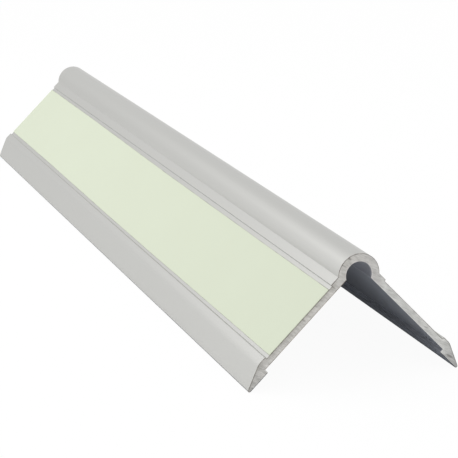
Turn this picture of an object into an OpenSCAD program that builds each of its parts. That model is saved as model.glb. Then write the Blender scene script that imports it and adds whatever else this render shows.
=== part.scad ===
// Corner guard with a round nose: one aluminium extrusion with two equal wings, and a
// luminous strip lying in the recess of the left wing.
// The section is sketched with the inner corner of the two wings at its origin, then stood
// up and run along Y. The guard rests on its two wing tips, and the nose points up.

/* [Length] */
// Length of the guard, along the edge that it covers
guard_length = 300; // [100:10:3000]

/* [Nose] */
// Angle between the inner faces of the two wings
corner_angle = 90; // [80:1:110]
// Radius of the round groove inside the nose, which clears a chipped or rounded edge
groove_r = 4; // [3:0.1:6]
// Wall of the nose round the groove
nose_t = 2.4; // [1.6:0.1:3]
// How far the groove's centre lies below the inner corner
groove_drop = 2.6; // [1.5:0.1:3.4]

/* [Wings] */
// Thickness of a wing under the recess
web_t = 2.1; // [1.5:0.1:3]
// Width of the raised band between the nose and the recess
band_w = 3.05; // [1.5:0.05:8]
// Height of that band above the recess
band_rise = 0.5; // [0.3:0.05:1]
// Width of the lip, from the recess to the wing's tip
lip_w = 10.4; // [8:0.1:16]
// Height of the lip above the recess
lip_rise = 0.65; // [0.4:0.05:1.2]
// Width of the lip's flat crest, before it slopes down to the tip
crest_w = 2.8; // [2:0.1:4]
// Width of the foot under the lip, which bears on the wall or tread
foot_w = 7.8; // [5:0.1:12]
// Depth of the foot below the inner face: the room left for adhesive
foot_t = 1.3; // [0.5:0.1:2]

/* [Luminous strip] */
// Width of the strip
strip_w = 25; // [15:0.5:50]
// Thickness of the strip
strip_t = 0.25; // [0.15:0.05:0.4]
// Bare recess on each side of the strip
strip_gap = 1.25; // [0.5:0.05:3]

/* [Edges] */
// Radius of the wing's tip
tip_r = 0.5; // [0.3:0.05:0.7]
// Radius between the lip's crest and its slope
shoulder_r = 4; // [1:0.5:5]
// Radius of the small outer edges
edge_r = 0.3; // [0.1:0.05:0.4]

/* [Hidden] */

// Flats in each small rounding
round_steps = 6;
// How far the groove's cut runs past each end
cut_past = 1;
half_angle = corner_angle / 2;
nose_r = groove_r + nose_t;

// The groove's centre, from the inner corner, along a wing and away from its inner face
groove_u = groove_drop * cos(half_angle);
groove_v = -groove_drop * sin(half_angle);

// Heights above a wing's inner face
band_v = web_t + band_rise;
crest_v = web_t + lip_rise;

// Places along a wing, from the inner corner
nose_end_u = groove_u + sqrt(pow(nose_r, 2) - pow(band_v - groove_v, 2));
recess_u = nose_end_u + band_w;
strip_u = recess_u + strip_gap;
lip_u = strip_u + strip_w + strip_gap;
crest_end_u = lip_u + crest_w;
tip_u = lip_u + lip_w;
foot_u = tip_u - foot_w;
mouth_u = groove_u + sqrt(pow(groove_r, 2) - pow(groove_v, 2));

// Levels, from the inner corner, at which the nose's outer round meets the bands and its
// groove meets the inner faces. The nose is cut off halfway between them.
nose_end_z = band_v * sin(half_angle) - nose_end_u * cos(half_angle);
mouth_z = -mouth_u * cos(half_angle);
nose_floor_z = (nose_end_z + mouth_z) / 2;

// The tip is rounded about this centre. The lip's slope starts at the end of the crest and
// touches the round, and meets the foot's face in a point that the round cuts off.
tip_centre = [tip_u - tip_r, tip_r - foot_t];
slope_run = tip_centre - [crest_end_u, crest_v];
slope_angle = atan2(-slope_run.y, slope_run.x) - asin(tip_r / norm(slope_run));
slope_end_u = tip_centre.x + tip_r / tan(slope_angle / 2);

// Height of the inner corner above the level that the tips rest on
corner_z = tip_centre.x * cos(half_angle) - tip_centre.y * sin(half_angle) + tip_r;

function unit(v) = v / norm(v);

function turned(v, angle) =
    [v.x * cos(angle) - v.y * sin(angle), v.x * sin(angle) + v.y * cos(angle)];

// Points of the arc of radius r that rounds corner b, where a and c are its neighbours
function corner_arc(a, b, c, r) =
    let (
        to_a = unit(a - b),
        to_c = unit(c - b),
        half = acos(to_a * to_c) / 2,
        centre = b + unit(to_a + to_c) * r / sin(half),
        start = b + to_a * r / tan(half) - centre,
        sweep = (2 * half - 180) * sign(cross(to_a, to_c))
    )
    [for (i = [0:round_steps]) centre + turned(start, sweep * i / round_steps)];

// The outline with each corner rounded by its third number, and left sharp where that is 0
function rounded(outline) =
    let (n = len(outline), at = [for (p = outline) [p.x, p.y]])
    [for (i = [0:n - 1])
        each outline[i][2] == 0
            ? [at[i]]
            : corner_arc(at[(i + n - 1) % n], at[i], at[(i + 1) % n], outline[i][2])];

// A wing laid flat: X runs from the inner corner to the tip, and Y out from the inner face
module wing_section() {
    polygon(rounded([
        [0, 0, 0],
        [0, band_v, 0],
        [recess_u, band_v, edge_r],
        [recess_u, web_t, 0],
        [lip_u, web_t, 0],
        [lip_u, crest_v, edge_r],
        [crest_end_u, crest_v, shoulder_r],
        [slope_end_u, -foot_t, tip_r],
        [foot_u, -foot_t, edge_r],
        [foot_u, 0, 0]
    ]));
}

// Turns what is drawn on a flat wing to where the right wing lies
module on_right_wing() {
    rotate(half_angle - 90) children();
}

module on_left_wing() {
    mirror([1, 0]) on_right_wing() children();
}

module circle_at_groove(r) {
    translate([0, -groove_drop]) circle(r = r, $fn = 128);
}

// The round of the nose, kept down to a level at which both its ends are inside the wings
module nose_section() {
    intersection() {
        circle_at_groove(nose_r);
        translate([-nose_r, nose_floor_z]) square(2 * nose_r);
    }
}

// Stands a section up and runs it along Y. The inner corner is at the origin.
module run_along_guard(run = guard_length) {
    rotate([90, 0, 0]) linear_extrude(height = run, center = true) children();
}

// Sets the tips on the ground
module stand_on_tips() {
    translate([0, 0, corner_z]) children();
}

module aluminium_profile() {
    color([0.79, 0.79, 0.78]) stand_on_tips() difference() {
        union() {
            run_along_guard() nose_section();
            run_along_guard() on_right_wing() wing_section();
            run_along_guard() on_left_wing() wing_section();
        }
        run_along_guard(guard_length + 2 * cut_past) circle_at_groove(groove_r);
    }
}

module luminous_strip() {
    color([0.87, 0.9, 0.81]) stand_on_tips() run_along_guard()
        on_left_wing() translate([strip_u, web_t]) square([strip_w, strip_t]);
}

aluminium_profile();
luminous_strip();
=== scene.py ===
import math

import bpy
import numpy as np
from mathutils import Matrix, Vector
from mathutils.geometry import tessellate_polygon


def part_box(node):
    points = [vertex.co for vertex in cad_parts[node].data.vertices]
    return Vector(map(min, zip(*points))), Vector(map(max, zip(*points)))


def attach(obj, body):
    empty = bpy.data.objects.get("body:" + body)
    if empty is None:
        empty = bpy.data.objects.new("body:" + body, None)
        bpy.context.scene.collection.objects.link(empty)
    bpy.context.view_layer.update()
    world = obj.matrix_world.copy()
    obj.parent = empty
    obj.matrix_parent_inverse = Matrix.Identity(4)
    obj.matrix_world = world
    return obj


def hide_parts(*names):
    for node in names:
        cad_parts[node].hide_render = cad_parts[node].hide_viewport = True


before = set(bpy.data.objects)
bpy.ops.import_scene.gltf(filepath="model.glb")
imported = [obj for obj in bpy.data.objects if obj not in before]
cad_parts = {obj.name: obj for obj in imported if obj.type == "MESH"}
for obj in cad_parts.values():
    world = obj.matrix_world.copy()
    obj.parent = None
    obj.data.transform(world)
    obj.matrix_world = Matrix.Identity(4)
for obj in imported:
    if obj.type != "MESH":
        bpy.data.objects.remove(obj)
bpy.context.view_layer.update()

# A corner guard: an anodised aluminium extrusion that rests on its two wing tips, with a
# luminous strip stuck in the recess of its left wing. It runs along Y, and its nose points up.
# A wing's own coordinates are u, from the inner corner to the tip, and v, out from the inner face.

mm = 0.001
# The sockets of a Mix node share their names, so they go by number: the two values and the two
# colours that go in, and the value or the colour that comes out.
valueA, valueB, colourA, colourB = 2, 3, 6, 7
mixedValue, mixedColour = 0, 2


def linearColour(hexColour):
    # an sRGB hex value as a linear colour with full alpha
    srgb = np.array([int(hexColour[i:i + 2], 16) / 255 for i in (0, 2, 4)])
    linear = np.where(srgb <= 0.04045, srgb / 12.92, ((srgb + 0.055) / 1.055) ** 2.4)
    return (*linear.tolist(), 1.0)


def addNode(tree, kind, settings=None, inputs=None):
    # settings are the node's own properties; an input is a value or another node's socket
    node = tree.nodes.new(kind)
    for name, value in (settings or {}).items():
        setattr(node, name, value)
    for name, value in (inputs or {}).items():
        if isinstance(value, bpy.types.NodeSocket):
            tree.links.new(value, node.inputs[name])
        else:
            node.inputs[name].default_value = value
    return node


def newMaterial(name):
    # an empty material and its shader, ready for nodes
    material = bpy.data.materials.new(name)
    material.use_nodes = True
    tree = material.node_tree
    tree.nodes.clear()
    shader = addNode(tree, "ShaderNodeBsdfPrincipled")
    addNode(tree, "ShaderNodeOutputMaterial", inputs={"Surface": shader.outputs["BSDF"]})
    return material, tree, shader


# The camera stands where the photograph was taken from: its place in metres, its heading to the
# right of +Y, how far it looks down and how far it is rolled, in degrees, its lens and sensor in
# mm, and how near and how far it sees, in metres.
cameraView = {
    "place": (-0.2036, -0.5820, 0.1786),
    "heading": 20.785,
    "down": 15.725,
    "roll": 0.94,
    "lens": 138.15,
    "sensor": 36.0,
    "nearest": 0.01,
    "farthest": 50.0,
}


def placeCamera(view):
    data = bpy.data.cameras.new("photoCamera")
    data.sensor_fit = "HORIZONTAL"
    data.sensor_width = view["sensor"]
    data.lens = view["lens"]
    data.clip_start = view["nearest"]
    data.clip_end = view["farthest"]
    camera = bpy.data.objects.new("photoCamera", data)
    bpy.context.scene.collection.objects.link(camera)
    turn = Matrix.Rotation(-math.radians(view["heading"]), 4, "Z")
    tilt = Matrix.Rotation(math.radians(90 - view["down"]), 4, "X")
    roll = Matrix.Rotation(math.radians(view["roll"]), 4, "Z")
    camera.matrix_world = Matrix.Translation(view["place"]) @ turn @ tilt @ roll
    bpy.context.scene.camera = camera


placeCamera(cameraView)
print("camera placed")

# The extrusion's section, in metres. Its length and the level of the nose's top come from the
# frame.
profile = {
    "halfAngle": math.radians(45),
    "grooveRadius": 4.0 * mm,
    "noseWall": 2.4 * mm,
    "grooveDrop": 2.6 * mm,
    "web": 2.1 * mm,
    "bandWidth": 3.05 * mm,
    "bandRise": 0.5 * mm,
    "lipWidth": 10.4 * mm,
    "lipRise": 0.65 * mm,
    "crestWidth": 2.8 * mm,
    "footWidth": 7.8 * mm,
    "footDepth": 1.3 * mm,
    "stripWidth": 25.0 * mm,
    "stripGap": 1.25 * mm,
    "tipRadius": 0.5 * mm,
    "shoulderRadius": 4.0 * mm,
    "edgeRadius": 0.3 * mm,
    "bandEdgeRadius": 0.22 * mm,
    "insideRadius": 0.18 * mm,  # the die's own small fillets in the corners
    "creaseRadius": 0.2 * mm,
    "mouthRadius": 0.21 * mm,
    "cutBevel": 0.06 * mm,      # the sawn end's broken edge
    "burrAndHighlightWidth": 0.14 * mm,     # the rim inside it: a dull burr on the outer edges, a painted highlight on most inner ones
    "stations": 61,             # rings along the length, 5 mm apart
    # how many flats each round is made of
    "noseFlats": 48,
    "creaseFlats": 4,
    "cornerFlats": 6,
    "shoulderFlats": 10,
    "tipFlats": 12,
    "mouthFlats": 5,
    "grooveFlats": 32,
}


def arc(centre, radius, start, end, flats, hollow=False):
    # points of an arc from one angle to another, in degrees, and the normals that point out of
    # the metal: away from the centre, or towards it on a hollow round
    angle = np.radians(np.linspace(start, end, flats + 1))
    ray = np.stack([np.cos(angle), np.sin(angle)], 1)
    return np.asarray(centre) + radius * ray, -ray if hollow else ray


def roundCorner(before, corner, after, radius, flats):
    # the arc that touches both sides of a corner of the outline
    toBefore = (before - corner) / np.linalg.norm(before - corner)
    toAfter = (after - corner) / np.linalg.norm(after - corner)
    half = math.acos(float(toBefore @ toAfter)) / 2
    middle = (toBefore + toAfter) / np.linalg.norm(toBefore + toAfter)
    centre = corner + middle * radius / math.sin(half)
    start = corner + toBefore * radius / math.tan(half) - centre
    side = -np.sign(toBefore[0] * toAfter[1] - toBefore[1] * toAfter[0])
    first = math.degrees(math.atan2(start[1], start[0]))
    sweep = side * (180 - 2 * math.degrees(half))
    return arc(centre, radius, first, first + sweep, flats, hollow=bool(side > 0))


def wingPlaces(section):
    # the distances along a wing and above its inner face that the outline is built on
    half = section["halfAngle"]
    groove = np.array([math.cos(half), -math.sin(half)]) * section["grooveDrop"]
    noseRadius = section["grooveRadius"] + section["noseWall"]
    bandHeight = section["web"] + section["bandRise"]
    crestHeight = section["web"] + section["lipRise"]
    noseEnd = groove[0] + math.sqrt(noseRadius ** 2 - (bandHeight - groove[1]) ** 2)
    recess = noseEnd + section["bandWidth"]
    strip = recess + section["stripGap"]
    lip = strip + section["stripWidth"] + section["stripGap"]
    tip = lip + section["lipWidth"]
    tipRadius = section["tipRadius"]
    return {
        "groove": groove,
        "noseRadius": noseRadius,
        "bandHeight": bandHeight,
        "crestHeight": crestHeight,
        "recess": recess,
        "strip": strip,
        "lip": lip,
        "crestEnd": lip + section["crestWidth"],
        "foot": tip - section["footWidth"],
        "tipCentre": np.array([tip - tipRadius, tipRadius - section["footDepth"]]),
    }


places = wingPlaces(profile)
# the inner corner's height above the floor
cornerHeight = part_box("aluminium_profile")[1].z - places["noseRadius"] + profile["grooveDrop"]


def halfOutline(section):
    # One half of the outline in a wing's coordinates, from the nose's top round the tip and back
    # to the groove's top: points, normals, and the zone that the stretch after a point is in.
    # Zone 0 is the outside, 1 the tip's round, 2 the foot's face, 3 the foot's step, 4 the inner
    # face, and 5 the groove with its mouth.
    at = wingPlaces(section)
    top = 90 + math.degrees(section["halfAngle"])
    groove, noseRadius, grooveRadius = at["groove"], at["noseRadius"], section["grooveRadius"]
    crease, mouth = section["creaseRadius"], section["mouthRadius"]
    foot = -section["footDepth"]

    # the crease's fillet touches the nose from outside and the band from above
    height = at["bandHeight"] + crease - groove[1]
    creaseCentre = groove + [math.sqrt((noseRadius + crease) ** 2 - height ** 2), height]
    creaseAngle = math.degrees(math.asin(height / (noseRadius + crease)))
    # the mouth's round touches the inner face and the groove
    height = mouth - groove[1]
    mouthCentre = groove + [math.sqrt((grooveRadius + mouth) ** 2 - height ** 2), height]
    mouthAngle = math.degrees(math.asin(height / (grooveRadius + mouth)))
    # the lip's slope touches the tip's round, and runs on to a point on the foot's level
    run = at["tipCentre"] - [at["crestEnd"], at["crestHeight"]]
    slope = math.atan2(-run[1], run[0]) - math.asin(section["tipRadius"] / np.linalg.norm(run))
    slopeEnd = at["tipCentre"][0] + section["tipRadius"] / math.tan(slope / 2)

    # corners from the crease round to the mouth: u, v, radius and flats
    edge, inside, flats = section["edgeRadius"], section["insideRadius"], section["cornerFlats"]
    corners = np.array([
        (creaseCentre[0], at["bandHeight"], 0, 0),
        (at["recess"], at["bandHeight"], section["bandEdgeRadius"], flats),
        (at["recess"], section["web"], inside, flats),
        (at["lip"], section["web"], inside, flats),
        (at["lip"], at["crestHeight"], edge, flats),
        (at["crestEnd"], at["crestHeight"], section["shoulderRadius"], section["shoulderFlats"]),
        (slopeEnd, foot, section["tipRadius"], section["tipFlats"]),
        (at["foot"], foot, edge, flats),
        (at["foot"], 0, inside, flats),
        (mouthCentre[0], 0, 0, 0),
    ])
    stretches = [
        arc(groove, noseRadius, top, creaseAngle, section["noseFlats"]),
        arc(creaseCentre, crease, creaseAngle + 180, 270, section["creaseFlats"], hollow=True),
    ]
    for i in range(1, len(corners) - 1):
        radius, ownFlats = corners[i, 2:]
        stretches.append(roundCorner(*corners[i - 1:i + 2, :2], radius, int(ownFlats)))
    stretches += [
        arc(mouthCentre, mouth, 270, mouthAngle + 180, section["mouthFlats"]),
        arc(groove, grooveRadius, mouthAngle, top, section["grooveFlats"], hollow=True),
    ]
    points = np.concatenate([s[0] for s in stretches])
    normals = np.concatenate([s[1] for s in stretches])

    # The points at which a new zone starts: the third of the tip's round, its last, one just past
    # halfway round each corner of the foot's step, and the first of the mouth's round. The three
    # rounds before the mouth are named by their number in stretches.
    tipRound, footEdge, footInside = 7, 8, 9
    ends = np.cumsum([len(s[0]) for s in stretches])
    halfRound = section["cornerFlats"] // 2
    zoneStarts = [ends[tipRound - 1] + 2, ends[tipRound] - 1, ends[footEdge] - halfRound,
                  ends[footInside] - halfRound, ends[footInside]]
    zone = np.searchsorted(zoneStarts, np.arange(len(points)), side="right")
    # where two stretches touch, the point is kept once
    touching = 0.0001 * mm
    apart = np.linalg.norm(np.diff(points, axis=0), axis=1) > touching
    keep = np.append(apart, True)
    return points[keep], normals[keep], zone[keep]


def wingToFrame(uv, side, half):
    # turns wing coordinates, or a direction in them, into x and z; side is 1 right and -1 left
    u, v = uv[..., 0], uv[..., 1]
    across = side * (u * math.sin(half) + v * math.cos(half))
    return np.stack([across, v * math.sin(half) - u * math.cos(half)], -1)


def wholeOutline(section):
    # The closed outline: the right half from the nose's top to the groove's top, and the left
    # half mirrored and run backwards. The two points on the middle line belong to both halves.
    half = section["halfAngle"]
    points, normals, zone = halfOutline(section)
    right, rightNormals = wingToFrame(points, 1, half), wingToFrame(normals, 1, half)
    left, leftNormals = wingToFrame(points, -1, half), wingToFrame(normals, -1, half)
    outline = np.concatenate([right, left[-2:0:-1]]) + [0, cornerHeight]
    outlineNormals = np.concatenate([rightNormals, leftNormals[-2:0:-1]])
    # a segment belongs to its first point on the right, and to its last one on the left
    segmentZone = np.concatenate([zone[:-1], zone[-2::-1]])
    return outline, outlineNormals, segmentZone


def meshPiece(name, vertices, faces, materials, faceMaterials, cornerNormals=None):
    mesh = bpy.data.meshes.new(name)
    mesh.from_pydata(vertices.tolist(), [], faces)
    for material in materials:
        mesh.materials.append(material)
    mesh.polygons.foreach_set("material_index", np.asarray(faceMaterials, np.int32))
    mesh.polygons.foreach_set("use_smooth", np.ones(len(faces), bool))
    mesh.update()
    if cornerNormals is not None:
        mesh.normals_split_custom_set(cornerNormals.tolist())
    piece = bpy.data.objects.new(name, mesh)
    bpy.context.scene.collection.objects.link(piece)
    return piece


def ringFaces(rings, count, order=1):
    # quads between each ring of points and the next; order -1 turns them to face the other way
    here = np.arange(count)
    after = (here + 1) % count
    first, second = np.array([0, count])[::order]
    quad = np.stack([first + here, first + after, second + after, second + here], 1)
    return (np.arange(rings - 1)[:, None, None] * count + quad).reshape(-1, 4)


def buildProfile(section, finishes):
    # The outline carried along Y. Each end has a narrow bevel, a rim and a flat sawn face; the
    # rim and bevel are dull on the outer edges and carry a painted highlight on most inner edges.
    low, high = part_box("aluminium_profile")
    outline, normals, zone = wholeOutline(section)
    count = len(outline)
    bevel, rim = section["cutBevel"], section["cutBevel"] + section["burrAndHighlightWidth"]

    # each ring is a place along Y and how far the outline is drawn in there
    along = np.linspace(low.y + bevel, high.y - bevel, section["stations"])
    ringY = np.concatenate([[low.y, low.y], along, [high.y, high.y]])
    ringInset = np.concatenate([[rim, bevel], np.zeros(len(along)), [bevel, rim]])
    x = outline[None, :, 0] - normals[None, :, 0] * ringInset[:, None]
    z = outline[None, :, 1] - normals[None, :, 1] * ringInset[:, None]
    y = np.repeat(ringY[:, None], count, 1)
    vertices = np.stack([x, y, z], -1).reshape(-1, 3)
    rings = len(ringY)
    quads = ringFaces(rings, count)

    # the sawn faces fill the first and the last ring
    flatRing = np.stack([x[0], z[0], np.zeros(count)], 1)
    triangles = np.array(tessellate_polygon([[Vector(point) for point in flatRing]]))
    corner, second, third = (flatRing[triangles[:, i], :2] for i in range(3))
    (acrossOne, upOne), (acrossTwo, upTwo) = (second - corner).T, (third - corner).T
    # x to z turns to -Y, so a positive area faces the near end
    area = np.sum(acrossOne * upTwo - acrossTwo * upOne)
    nearCap = triangles if area > 0 else triangles[:, ::-1]
    farCap = nearCap[:, ::-1] + (rings - 1) * count

    # the turns of quads: a rim and a bevel at either end, and the walls between
    turns = rings - 1
    turnOf = np.repeat(np.arange(turns), count)
    nearRim, nearBevel, farBevel, farRim = 0, 1, turns - 2, turns - 1

    # normals at each face's corners: the outline's own, tilted on the bevels, and flat on the ends
    wall = np.stack([normals[:, 0], np.zeros(count), normals[:, 1]], 1)
    quadNormals = np.tile(wall, (rings, 1))[quads]
    diagonal = math.sqrt(0.5)
    for turn, facing in ((nearBevel, -1), (farBevel, 1)):
        onBevel = turnOf == turn
        quadNormals[onBevel] = quadNormals[onBevel] * diagonal + [0, facing * diagonal, 0]
    quadNormals[turnOf == nearRim] = (0, -1, 0)
    quadNormals[turnOf == farRim] = (0, 1, 0)
    capNormals = np.zeros((len(nearCap) * 2, 3, 3))
    capNormals[:len(nearCap), :, 1] = -1
    capNormals[len(nearCap):, :, 1] = 1
    cornerNormals = np.concatenate([quadNormals.reshape(-1, 3), capNormals.reshape(-1, 3)])

    # the finish of each zone along the walls, and of its rim and bevel at the two ends
    slot = {name: number for number, name in enumerate(finishes)}
    wallNames = ("outside", "tip", "inside", "step", "inside", "bore")
    rimNames = ("burr", "burr", "tip", "innerEdgeHighlight", "innerEdgeHighlight", "innerEdgeHighlight")
    wallFinish = np.array([slot[name] for name in wallNames])[zone]
    rimFinish = np.array([slot[name] for name in rimNames])[zone]
    # the right wing's burr is finer, and the left wing's inner face gets a burr at its edge, not
    # the painted highlight
    outsideZone, insideZone = 0, 4
    rimFinish[(zone == outsideZone) & (outline[:, 0] > 0)] = slot["fineBurr"]
    rimFinish[(zone == insideZone) & (outline[:, 0] < 0)] = slot["innerBurr"]
    atEnd = (turnOf <= nearBevel) | (turnOf >= farBevel)
    quadFinish = np.where(atEnd, np.tile(rimFinish, turns), np.tile(wallFinish, turns))
    faceFinish = np.concatenate([quadFinish, np.full(len(nearCap) * 2, slot["sawn"])])
    faces = quads.tolist() + nearCap.tolist() + farCap.tolist()
    return meshPiece("guardProfile", vertices, faces, finishes.values(), faceFinish, cornerNormals)


# Clear anodised aluminium, satin: an even silver grey with a soft sheen, and faint lines along
# the piece that the extrusion die leaves.
anodised = {
    "colour": "bfbfbc",
    "lineColour": "bbbbb8",
    "roughness": 0.42,
    "roughnessSpread": 0.05,
    "linePitch": 0.6 * mm,
    "lineLength": 400,          # times their pitch
    "lineDepth": 0.004 * mm,
    "lineStrength": 0.5,
}

# the noise that all metal patterns are drawn with; their Mapping nodes give it its size
metalNoise = {"Scale": 1.0, "Detail": 3.0, "Roughness": 0.6}


def middleShare(tree, place, middle):
    # how much of the middle's colour a place takes, by its distance along Y from the nearer end
    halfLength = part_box("aluminium_profile")[1].y
    axes = addNode(tree, "ShaderNodeSeparateXYZ", inputs={"Vector": place.outputs["Object"]})
    offCentre = addNode(tree, "ShaderNodeMath", {"operation": "ABSOLUTE"}, {0: axes.outputs["Y"]})
    return addNode(tree, "ShaderNodeMapRange", {"interpolation_type": "SMOOTHSTEP"}, {
        "Value": offCentre.outputs["Value"],
        "From Min": halfLength - middle["start"],
        "From Max": halfLength - middle["full"]}).outputs["Result"]


def anodisedAluminium(name, finish, middle=None):
    # metal with the die's lines along Y; middle is its colour away from the ends, if another
    material, tree, shader = newMaterial(name)
    place = addNode(tree, "ShaderNodeTexCoord")
    across = 1 / finish["linePitch"]
    stretched = addNode(tree, "ShaderNodeMapping", inputs={
        "Vector": place.outputs["Object"],
        "Scale": (across, across / finish["lineLength"], across)})
    lines = addNode(tree, "ShaderNodeTexNoise", inputs={
        "Vector": stretched.outputs["Vector"], **metalNoise})
    colour = addNode(tree, "ShaderNodeMix", {"data_type": "RGBA"}, {
        "Factor": lines.outputs["Fac"],
        colourA: linearColour(finish["lineColour"]),
        colourB: linearColour(finish["colour"])})
    rough = addNode(tree, "ShaderNodeMapRange", inputs={
        "Value": lines.outputs["Fac"],
        "To Min": finish["roughness"] - finish["roughnessSpread"],
        "To Max": finish["roughness"] + finish["roughnessSpread"]})
    bump = addNode(tree, "ShaderNodeBump", inputs={
        "Height": lines.outputs["Fac"],
        "Strength": finish["lineStrength"],
        "Distance": finish["lineDepth"]})
    # a middle colour is painted light: brighter away from the ends
    if middle:
        colour = addNode(tree, "ShaderNodeMix", {"data_type": "RGBA"}, {
            "Factor": middleShare(tree, place, middle),
            colourA: colour.outputs[mixedColour],
            colourB: linearColour(middle["colour"])})
    tree.links.new(colour.outputs[mixedColour], shader.inputs["Base Color"])
    tree.links.new(rough.outputs["Result"], shader.inputs["Roughness"])
    tree.links.new(bump.outputs["Normal"], shader.inputs["Normal"])
    shader.inputs["Metallic"].default_value = 1.0
    return material


# The inner faces: the same metal left matt, and painted darker: painted shade for the shade
# under the wings, so that what little light gets in fades towards the middle.
innerShadedFinish = dict(anodised, colour="9a9ea6", lineColour="9599a1", roughness=0.78,
                   linePitch=0.9 * mm, lineDepth=0.006 * mm)
# The groove's bore and the foot's step are painted brighter than the inner faces: painted
# light for the light that falls on them. Both take more painted light away from the ends, from one
# distance on, and fully so from another.
borePaintedLightFinish = dict(innerShadedFinish, colour="b8bac0", lineColour="b2b4ba")
borePaintedLightMiddle = {"colour": "d4d6dc", "start": 1 * mm, "full": 14 * mm}
stepPaintedLightFinish = dict(innerShadedFinish, colour="c8cad0", lineColour="c0c2c8")
stepPaintedLightMiddle = {"colour": "eaecf2", "start": 32 * mm, "full": 66 * mm}
# The round of the tip, which stands on the floor, is painted dark: painted shade for the
# floor's shadow that it reflects.
tipShadeFinish = dict(innerShadedFinish, colour="707278", lineColour="66686e")

# The sawn ends: bright bare metal with streaks across, from the saw's teeth, in patches.
sawn = {
    "colour": "dfdfdc",
    "streakColour": "b3b3b0",
    "roughness": 0.48,
    "streakPitch": 0.3 * mm,
    "streakLength": 9,          # times their pitch
    "streakTurn": 60,           # degrees from upright
    "streakDepth": 0.012 * mm,
    "streakStrength": 0.6,
    "patchPitch": 0.9 * mm,
    "patchLength": 3,
    "patchShare": 0.5,
    "spread": 0.16,             # how far the pattern strays from its middle, 0.5
    # Tints from left to right, as x in mm and a colour: the left wing is a little warm, and the
    # tips are darker with painted shade, for the floor's shadow near them.
    "tintsAndShade": ((-32, "e4e3e2"), (-28, "fefcfb"), (-20, "fefcfa"), (-8, "f9f7f5"), (-6, "f4f2f1"),
              (-4, "f0eeec"), (5, "f0eeee"), (8, "fafafa"), (20, "ffffff"), (28, "ffffff"),
              (32, "dededf")),
    # The left web is dull, more so towards its outer face: from one height above the inner
    # face to another. The web begins between two distances from the inner corner.
    "dullColour": "8f8b84",
    "dullShare": 0.3,
    "dullStart": 0.6 * mm,
    "dullFull": 2.0 * mm,
    "webStart": 7 * mm,
    "webFull": 9 * mm,
    # dark nicks in the near end: x, z and half their length in mm, and how dark they are
    "nicks": ((-3.3, 36.8, 1.2, 0.8), (-5.3, 34.9, 0.9, 0.7), (-4.4, 34.5, 0.9, 0.5),
              (-2.7, 35.1, 0.5, 0.5), (-7.8, 28.7, 1.2, 0.5), (-13.2, 23.7, 1.2, 0.3),
              (-16.7, 19.8, 1.2, 0.3), (-20.2, 15.7, 0.8, 0.3), (6.6, 30.5, 1.0, 0.4),
              (22.1, 13.7, 1.3, 0.3), (27.2, 10.1, 0.7, 0.8), (30.2, 3.9, 1.8, 0.6)),
    "nickColour": "5f5b57",
    "nickSlimness": 3,          # their length, along the streaks, over their width
    "nickCore": 1 / 3,          # the share of their size that is fully dark
    # As the streaks' noise goes from the first to the second of these, which is from their dull
    # to their bright colour, a nick fades to this share of its darkness.
    "nickNoise": (0.35, 0.65),
    "nickFaint": 0.6,
}


def tintAndShadeAcross(tree, place, finish):
    # the tint at a place, with the tips' painted shade, read from the finish's stops from left to
    # right
    reach = finish["tintsAndShade"][-1][0] * mm
    axes = addNode(tree, "ShaderNodeSeparateXYZ", inputs={"Vector": place.outputs["Object"]})
    share = addNode(tree, "ShaderNodeMapRange", inputs={
        "Value": axes.outputs["X"], "From Min": -reach, "From Max": reach})
    ramp = addNode(tree, "ShaderNodeValToRGB", inputs={"Fac": share.outputs["Result"]})
    stops = ramp.color_ramp.elements
    while len(stops) < len(finish["tintsAndShade"]):
        stops.new(0.5)
    for stop, (x, tint) in zip(stops, finish["tintsAndShade"]):
        stop.position = (x * mm + reach) / (2 * reach)
        stop.color = linearColour(tint)
    return ramp.outputs["Color"]


def dullness(tree, place, finish):
    # How dull a place is: the product of two smooth steps, one in v and one in u of the left wing.
    # Each is a dot product with the place, to which the inner corner's height adds level for v,
    # and from which it takes level for u.
    half = profile["halfAngle"]
    level = cornerHeight * math.cos(half)
    smooth = {"interpolation_type": "SMOOTHSTEP"}
    outward = addNode(tree, "ShaderNodeVectorMath", {"operation": "DOT_PRODUCT"}, {
        0: place.outputs["Object"], 1: (-math.sin(half), 0, math.cos(half))})
    rising = addNode(tree, "ShaderNodeMapRange", smooth, {
        "Value": outward.outputs["Value"],
        "From Min": level + finish["dullStart"],
        "From Max": level + finish["dullFull"],
        "To Max": finish["dullShare"]})
    along = addNode(tree, "ShaderNodeVectorMath", {"operation": "DOT_PRODUCT"}, {
        0: place.outputs["Object"], 1: (-math.sin(half), 0, -math.cos(half))})
    onWeb = addNode(tree, "ShaderNodeMapRange", smooth, {
        "Value": along.outputs["Value"],
        "From Min": finish["webStart"] - level,
        "From Max": finish["webFull"] - level})
    return addNode(tree, "ShaderNodeMath", {"operation": "MULTIPLY"}, {
        0: rising.outputs["Result"], 1: onWeb.outputs["Result"]}).outputs["Value"]


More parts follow.
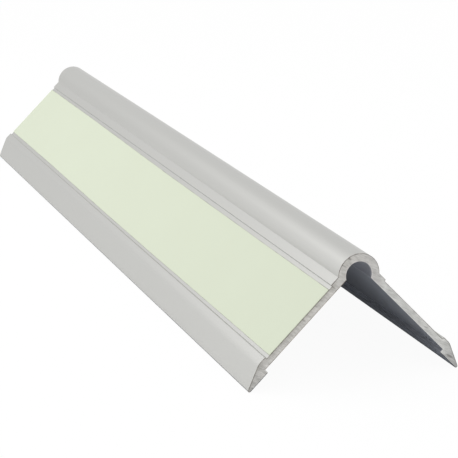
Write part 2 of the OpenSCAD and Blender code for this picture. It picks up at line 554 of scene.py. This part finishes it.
def nickedness(tree, turned, noise, finish):
    # How dark a nick makes a place. Squeezed along the streaks, each nick is a ball round its
    # centre, and where two meet the darker one counts.
    slim = (1, 1, 1 / finish["nickSlimness"])
    squeezed = addNode(tree, "ShaderNodeMapping", inputs={
        "Vector": turned.outputs["Vector"], "Scale": slim})
    turn = Matrix.Rotation(math.radians(finish["streakTurn"]), 3, "Y")
    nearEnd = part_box("aluminium_profile")[0].y
    darkest = None
    for x, z, halfLength, share in finish["nicks"]:
        centre = turn @ Vector((x * mm, nearEnd, z * mm)) * Vector(slim)
        reach = halfLength * mm / finish["nickSlimness"]
        away = addNode(tree, "ShaderNodeVectorMath", {"operation": "DISTANCE"}, {
            0: squeezed.outputs["Vector"], 1: tuple(centre)})
        dark = addNode(tree, "ShaderNodeMapRange", {"interpolation_type": "SMOOTHSTEP"}, {
            "Value": away.outputs["Value"],
            "From Min": reach,
            "From Max": reach * finish["nickCore"],
            "To Max": share}).outputs["Result"]
        darkest = dark if darkest is None else addNode(
            tree, "ShaderNodeMath", {"operation": "MAXIMUM"},
            {0: darkest, 1: dark}).outputs["Value"]
    lowNoise, highNoise = finish["nickNoise"]
    uneven = addNode(tree, "ShaderNodeMapRange", inputs={
        "Value": noise,
        "From Min": lowNoise,
        "From Max": highNoise,
        "To Min": 1.0,
        "To Max": finish["nickFaint"]})
    return addNode(tree, "ShaderNodeMath", {"operation": "MULTIPLY"}, {
        0: darkest, 1: uneven.outputs["Result"]}).outputs["Value"]


def sawnAluminium(name, finish):
    # bare metal in two colours that fine streaks and wider patches mix, then tinted, with painted
    # shade at the tips, dulled and nicked
    material, tree, shader = newMaterial(name)
    place = addNode(tree, "ShaderNodeTexCoord")
    turned = addNode(tree, "ShaderNodeMapping", inputs={
        "Vector": place.outputs["Object"],
        "Rotation": (0, math.radians(finish["streakTurn"]), 0)})
    noises = []
    for kind in ("streak", "patch"):
        across = 1 / finish[kind + "Pitch"]
        stretched = addNode(tree, "ShaderNodeMapping", inputs={
            "Vector": turned.outputs["Vector"],
            "Scale": (across, across, across / finish[kind + "Length"])})
        noises.append(addNode(tree, "ShaderNodeTexNoise", inputs={
            "Vector": stretched.outputs["Vector"], **metalNoise}).outputs["Fac"])
    streaks, patches = noises
    both = addNode(tree, "ShaderNodeMix", {"data_type": "FLOAT"}, {
        "Factor": finish["patchShare"], valueA: streaks, valueB: patches})
    # the noise keeps near 0.5, so a narrow range round it is spread over both colours
    spread = addNode(tree, "ShaderNodeMapRange", inputs={
        "Value": both.outputs[mixedValue],
        "From Min": 0.5 - finish["spread"],
        "From Max": 0.5 + finish["spread"]})
    colour = addNode(tree, "ShaderNodeMix", {"data_type": "RGBA"}, {
        "Factor": spread.outputs["Result"],
        colourA: linearColour(finish["streakColour"]),
        colourB: linearColour(finish["colour"])})
    tintedAndShaded = addNode(tree, "ShaderNodeMix", {"data_type": "RGBA", "blend_type": "MULTIPLY"}, {
        "Factor": 1.0,
        colourA: colour.outputs[mixedColour],
        colourB: tintAndShadeAcross(tree, place, finish)})
    dulled = addNode(tree, "ShaderNodeMix", {"data_type": "RGBA"}, {
        "Factor": dullness(tree, place, finish),
        colourA: tintedAndShaded.outputs[mixedColour],
        colourB: linearColour(finish["dullColour"])})
    nicked = addNode(tree, "ShaderNodeMix", {"data_type": "RGBA"}, {
        "Factor": nickedness(tree, turned, streaks, finish),
        colourA: dulled.outputs[mixedColour],
        colourB: linearColour(finish["nickColour"])})
    bump = addNode(tree, "ShaderNodeBump", inputs={
        "Height": streaks,
        "Strength": finish["streakStrength"],
        "Distance": finish["streakDepth"]})
    tree.links.new(nicked.outputs[mixedColour], shader.inputs["Base Color"])
    tree.links.new(bump.outputs["Normal"], shader.inputs["Normal"])
    shader.inputs["Metallic"].default_value = 1.0
    shader.inputs["Roughness"].default_value = finish["roughness"]
    return material


# The saw's burr: a thin dull line round the outside of each end, broken here and there.
burr = dict(sawn, colour="c0bdb8", streakColour="74716d", roughness=0.6, streakPitch=0.5 * mm,
            streakTurn=0, patchPitch=1.6 * mm, patchLength=1, patchShare=0.9, spread=0.1)
# On the right wing, where the saw went in, it is finer.
fineBurr = dict(burr, colour="bab8b3", streakColour="878580")
# The left wing's inner edge keeps a slightly brown burr.
innerBurr = dict(burr, colour="b7aca3", streakColour="786c64")
# The other inner edges carry a painted highlight: a bright rim and bevel for the highlight
# that their edge catches.
innerEdgeHighlight = dict(sawn, colour="e6e5e3", streakColour="cfcecb", roughness=0.4)

guard = buildProfile(profile, {
    "outside": anodisedAluminium("satinAnodisedAluminium", anodised),
    "tip": anodisedAluminium("tipPaintedShadeAluminium", tipShadeFinish),
    "inside": anodisedAluminium("mattInnerPaintedShadeAluminium", innerShadedFinish),
    "step": anodisedAluminium("stepPaintedLightAluminium", stepPaintedLightFinish, stepPaintedLightMiddle),
    "bore": anodisedAluminium("borePaintedLightAluminium", borePaintedLightFinish, borePaintedLightMiddle),
    "sawn": sawnAluminium("sawnAluminium", sawn),
    "burr": sawnAluminium("sawBurr", burr),
    "fineBurr": sawnAluminium("fineSawBurr", fineBurr),
    "innerBurr": sawnAluminium("innerSawBurr", innerBurr),
    "innerEdgeHighlight": sawnAluminium("innerEdgePaintedHighlight", innerEdgeHighlight),
})
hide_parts("aluminium_profile")
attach(guard, "root")
print("profile built:", len(guard.data.polygons), "faces")

# The luminous tape: pale green film on a thin adhesive, cut flush with the guard's ends.
tape = {
    "thickness": 0.25 * mm,
    "adhesive": 0.07 * mm,
    "filmEdge": 0.06 * mm,      # the radius of the film's top edges
    "edgeFlats": 4,
    # how far the adhesive shows beyond the film's two long edges
    "upperLedge": 0.11 * mm,
    "lowerLedge": 0.05 * mm,
    # it was laid in a slow bow: how far from its true place, how deep, where along Y the bow is
    # deepest, and the length of its wave
    "offset": 0.10 * mm,
    "bow": 0.17 * mm,
    "bowPlace": -40 * mm,
    "bowLength": 330 * mm,
    # how far its long edges wander besides, each by two sine waves: how many of them fit in the
    # tape's length, the angle in radians that they start at, and their share
    "waver": 0.03 * mm,
    "upperWaves": ((2.3, 0.4, 1), (7.1, 0, 0.5)),
    "lowerWaves": ((1.7, 2.1, 1), (5.9, 1, 0.5)),
    "stations": 151,            # rings along the length, 2 mm apart
    "across": 26,               # points across the film's top
}


def buildTape(size, section, materials):
    # A thin closed ring of points round the tape's section, carried along Y. Both long edges
    # follow the tape's bow, a cosine wave, and wander a little, each by its own two sine waves.
    low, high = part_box("luminous_strip")
    half = section["halfAngle"]
    stations, across, width = size["stations"], size["across"], section["stripWidth"]
    along = np.linspace(low.y, high.y, stations)
    phase = np.linspace(0, 2 * np.pi, stations)
    bowAngle = 2 * np.pi * (along - size["bowPlace"]) / size["bowLength"]
    bow = size["offset"] + size["bow"] * np.cos(bowAngle)
    upper, lower = (
        bow + size["waver"] * sum(share * np.sin(waves * phase + first)
                                  for waves, first, share in size[name])
        for name in ("upperWaves", "lowerWaves"))

    # the section's ring from the bottom of one edge, over the top, to the bottom of the other
    glue, top, edge, flats = (size[name] for name in
                              ("adhesive", "thickness", "filmEdge", "edgeFlats"))
    quarter = np.radians(np.linspace(180, 90, flats + 1))
    upperRay = np.stack([np.cos(quarter), np.sin(quarter)], 1)
    lowerRay = (upperRay * [-1, 1])[::-1]
    upperEdge, lowerEdge = (
        np.concatenate([[[0, 0], [0, glue], [ledge, glue]],
                        [ledge + edge, top - edge] + edge * upperRay])
        for ledge in (size["upperLedge"], size["lowerLedge"]))
    flatU = np.linspace(upperEdge[-1, 0], width - lowerEdge[-1, 0], across)[1:-1]
    flat = np.stack([flatU, np.full(len(flatU), top)], 1)
    ring = np.concatenate([upperEdge, flat, (lowerEdge * [-1, 1] + [width, 0])[::-1]])
    count = len(ring)
    gluePoints = 3              # the adhesive's, at either end of the ring

    # each stretch of the ring has its own normal, except on the film's rounded edges
    run = np.roll(ring, -1, 0) - ring
    startRay = np.stack([-run[:, 1], run[:, 0]], 1) / np.linalg.norm(run, axis=1)[:, None]
    endRay = startRay.copy()
    upperRound = slice(gluePoints, gluePoints + flats)
    lowerRound = slice(count - 1 - gluePoints - flats, count - 1 - gluePoints)
    startRay[upperRound], endRay[upperRound] = upperRay[:-1], upperRay[1:]
    startRay[lowerRound], endRay[lowerRound] = lowerRay[:-1], lowerRay[1:]

    # the ring at each station, where both edges are shifted and the rest keeps its share between
    share = ring[:, 0] / width
    u = ring[None, :, 0] + upper[:, None] * (1 - share) + lower[:, None] * share
    v = np.repeat(ring[None, :, 1], stations, 0)
    onWing = np.stack([u, v], -1) + [places["strip"], section["web"]]
    xz = wingToFrame(onWing, -1, half)
    y = np.repeat(along[:, None], count, 1)
    vertices = np.stack([xz[..., 0], y, xz[..., 1] + cornerHeight], -1).reshape(-1, 3)

    # the long faces, and at each end a face for the adhesive and one for the film's own cut
    quads = ringFaces(stations, count, order=-1)
    isGlue = np.zeros(count, int)
    isGlue[:gluePoints - 1] = isGlue[-gluePoints:] = 1
    glueEnd = [*range(gluePoints), *range(count - gluePoints, count)]
    filmEnd = [*range(gluePoints - 1, count - gluePoints + 1)]
    last = (stations - 1) * count
    ends = [glueEnd, filmEnd, *([last + i for i in end[::-1]] for end in (glueEnd, filmEnd))]
    faceMaterials = np.concatenate([np.tile(isGlue, stations - 1), [1, 0, 1, 0]])

    # the long faces take the section's own normals, and the two cut ends are flat; a quad's
    # corners are the start, the end, the end and the start of its stretch
    wall = wingToFrame(np.stack([startRay, endRay, endRay, startRay], 1), -1, half)
    sectionNormals = np.stack([wall[..., 0], np.zeros((count, 4)), wall[..., 1]], -1)
    quadNormals = np.tile(sectionNormals, (stations - 1, 1, 1)).reshape(-1, 3)
    endCorners = len(glueEnd) + len(filmEnd)
    endNormals = np.repeat([(0, -1, 0), (0, 1, 0)], endCorners, 0)
    return meshPiece("luminousTape", vertices, quads.tolist() + ends, materials, faceMaterials,
                     np.concatenate([quadNormals, endNormals]))


# Photoluminescent film: pale yellow-green matt vinyl, milky, with a fine grain of pigment in
# faint clouds.
film = {
    "colour": "ccd4bf",
    "grainColour": "c8ceb9",
    "roughness": 0.5,
    "grain": 0.25 * mm,
    "cloud": 25 * mm,
    "cloudShare": 0.5,
    "detail": 2.0,
    "grainDepth": 0.006 * mm,
    "grainStrength": 0.4,
}


def luminousFilm(name, finish):
    material, tree, shader = newMaterial(name)
    place = addNode(tree, "ShaderNodeTexCoord")
    grain, clouds = (
        addNode(tree, "ShaderNodeTexNoise", inputs={
            "Vector": place.outputs["Object"],
            "Scale": 1 / finish[size],
            "Detail": finish["detail"]}).outputs["Fac"]
        for size in ("grain", "cloud"))
    mixed = addNode(tree, "ShaderNodeMix", {"data_type": "FLOAT"}, {
        "Factor": finish["cloudShare"], valueA: grain, valueB: clouds})
    colour = addNode(tree, "ShaderNodeMix", {"data_type": "RGBA"}, {
        "Factor": mixed.outputs[mixedValue],
        colourA: linearColour(finish["grainColour"]),
        colourB: linearColour(finish["colour"])})
    bump = addNode(tree, "ShaderNodeBump", inputs={
        "Height": grain, "Strength": finish["grainStrength"], "Distance": finish["grainDepth"]})
    tree.links.new(colour.outputs[mixedColour], shader.inputs["Base Color"])
    tree.links.new(bump.outputs["Normal"], shader.inputs["Normal"])
    shader.inputs["Roughness"].default_value = finish["roughness"]
    return material


# Acrylic adhesive seen edge on: a pale grey line, brown-grey where it has picked up dust. There
# is more dust by the near end.
adhesive = {
    "colour": "aba9a0",
    "dustColour": "6f6c62",
    "roughness": 0.6,
    "patch": 5 * mm,
    "detail": 3.0,
    "clean": 0.5,               # the noise below which there is no dust
    "dusty": 0.62,              # and above which it is all dust
    "nearDust": 0.16,           # added to the noise at the near end
    "nearReach": 50 * mm,       # and fading to nothing this far from it
}


def tapeAdhesive(name, finish):
    material, tree, shader = newMaterial(name)
    place = addNode(tree, "ShaderNodeTexCoord")
    noise = addNode(tree, "ShaderNodeTexNoise", inputs={
        "Vector": place.outputs["Object"],
        "Scale": 1 / finish["patch"],
        "Detail": finish["detail"]})
    axes = addNode(tree, "ShaderNodeSeparateXYZ", inputs={"Vector": place.outputs["Object"]})
    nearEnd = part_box("luminous_strip")[0].y
    near = addNode(tree, "ShaderNodeMapRange", inputs={
        "Value": axes.outputs["Y"],
        "From Min": nearEnd + finish["nearReach"],
        "From Max": nearEnd,
        "To Max": finish["nearDust"]})
    amount = addNode(tree, "ShaderNodeMath", {"operation": "ADD"}, {
        0: noise.outputs["Fac"], 1: near.outputs["Result"]})
    dust = addNode(tree, "ShaderNodeMapRange", inputs={
        "Value": amount.outputs["Value"],
        "From Min": finish["clean"],
        "From Max": finish["dusty"]})
    colour = addNode(tree, "ShaderNodeMix", {"data_type": "RGBA"}, {
        "Factor": dust.outputs["Result"],
        colourA: linearColour(finish["colour"]),
        colourB: linearColour(finish["dustColour"])})
    tree.links.new(colour.outputs[mixedColour], shader.inputs["Base Color"])
    shader.inputs["Roughness"].default_value = finish["roughness"]
    return material


tapeMaterials = [luminousFilm("luminousFilm", film), tapeAdhesive("tapeAdhesive", adhesive)]
tapePiece = buildTape(tape, profile, tapeMaterials)
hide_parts("luminous_strip")
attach(tapePiece, "root")
print("tape built:", len(tapePiece.data.polygons), "faces")

# The studio: a white floor that keeps a faint shadow, white surroundings, and soft lamps.
studio = {
    "floorSize": 12.0,
    "floorColour": "fafafa",
    "floorGlow": 0.95,          # the share of plain white in the floor, as the camera sees it
    "floorGloss": 0.1,          # and as metal sees it
    "worldLevel": 0.9,          # the surroundings as a light
    # soft square lamps: heading to the left of +Y and height seen from the near end, in degrees,
    # distance and size in metres, and radiance, where the surroundings have 1
    "lampTarget": (0, -0.15, 0.02),
    "lamps": {
        "softboxHigh": {
            "heading": 50, "height": 45, "distance": 0.65, "size": 0.35, "radiance": 2.5},
        "softboxLow": {
            "heading": 50, "height": 15, "distance": 0.5, "size": 0.27, "radiance": 0.54},
    },
}


def whiteForViewers(tree, lit, white, cameraShare, glossShare):
    # the camera, and metal and glass, see a mix of the lit surface and plain white
    path = addNode(tree, "ShaderNodeLightPath")
    gloss = addNode(tree, "ShaderNodeMath", {"operation": "MAXIMUM"}, {
        0: path.outputs["Is Glossy Ray"], 1: path.outputs["Is Transmission Ray"]})
    glossPart = addNode(tree, "ShaderNodeMath", {"operation": "MULTIPLY"}, {
        0: gloss.outputs["Value"], 1: glossShare})
    factor = addNode(tree, "ShaderNodeMath", {"operation": "MULTIPLY_ADD"}, {
        0: path.outputs["Is Camera Ray"], 1: cameraShare, 2: glossPart.outputs["Value"]})
    return addNode(tree, "ShaderNodeMixShader", inputs={
        0: factor.outputs["Value"], 1: lit, 2: white}).outputs["Shader"]


def buildFloor(settings):
    material = bpy.data.materials.new("studioFloor")
    material.use_nodes = True
    tree = material.node_tree
    tree.nodes.clear()
    paint = addNode(tree, "ShaderNodeBsdfDiffuse", inputs={
        "Color": linearColour(settings["floorColour"])})
    white = addNode(tree, "ShaderNodeEmission", inputs={"Strength": 1.0})
    surface = whiteForViewers(tree, paint.outputs["BSDF"], white.outputs["Emission"],
                              settings["floorGlow"], settings["floorGloss"])
    addNode(tree, "ShaderNodeOutputMaterial", inputs={"Surface": surface})
    square = np.array([(-1, -1, 0), (1, -1, 0), (1, 1, 0), (-1, 1, 0)]) * settings["floorSize"] / 2
    floor = meshPiece("studioFloor", square, [[0, 1, 2, 3]], [material], [0])


def buildSurroundings(settings):
    world = bpy.data.worlds.new("studioWorld")
    bpy.context.scene.world = world
    world.use_nodes = True
    tree = world.node_tree
    tree.nodes.clear()
    ambient, white = (
        addNode(tree, "ShaderNodeBackground", inputs={
            "Strength": level, "Color": (1, 1, 1, 1)}).outputs["Background"]
        for level in (settings["worldLevel"], 1.0))
    surface = whiteForViewers(tree, ambient, white, cameraShare=1.0, glossShare=1.0)
    addNode(tree, "ShaderNodeOutputWorld", inputs={"Surface": surface})


def placeLamps(settings):
    # each lamp faces the target; its power is that of a white square of its radiance
    target = Vector(settings["lampTarget"])
    for name, lamp in settings["lamps"].items():
        data = bpy.data.lights.new(name, "AREA")
        data.size = lamp["size"]
        data.energy = math.pi * lamp["size"] ** 2 * lamp["radiance"]
        light = bpy.data.objects.new(name, data)
        bpy.context.scene.collection.objects.link(light)
        turn = Matrix.Rotation(math.radians(lamp["heading"]), 3, "Z")
        tilt = Matrix.Rotation(math.radians(lamp["height"]), 3, "X")
        away = turn @ tilt @ Vector((0, lamp["distance"], 0))
        facing = (-away).to_track_quat("-Z", "Y").to_matrix().to_4x4()
        light.matrix_world = Matrix.Translation(target + away) @ facing
        light.visible_camera = False


buildFloor(studio)
buildSurroundings(studio)
placeLamps(studio)
bpy.context.scene.view_settings.view_transform = "Standard"
print("studio built")
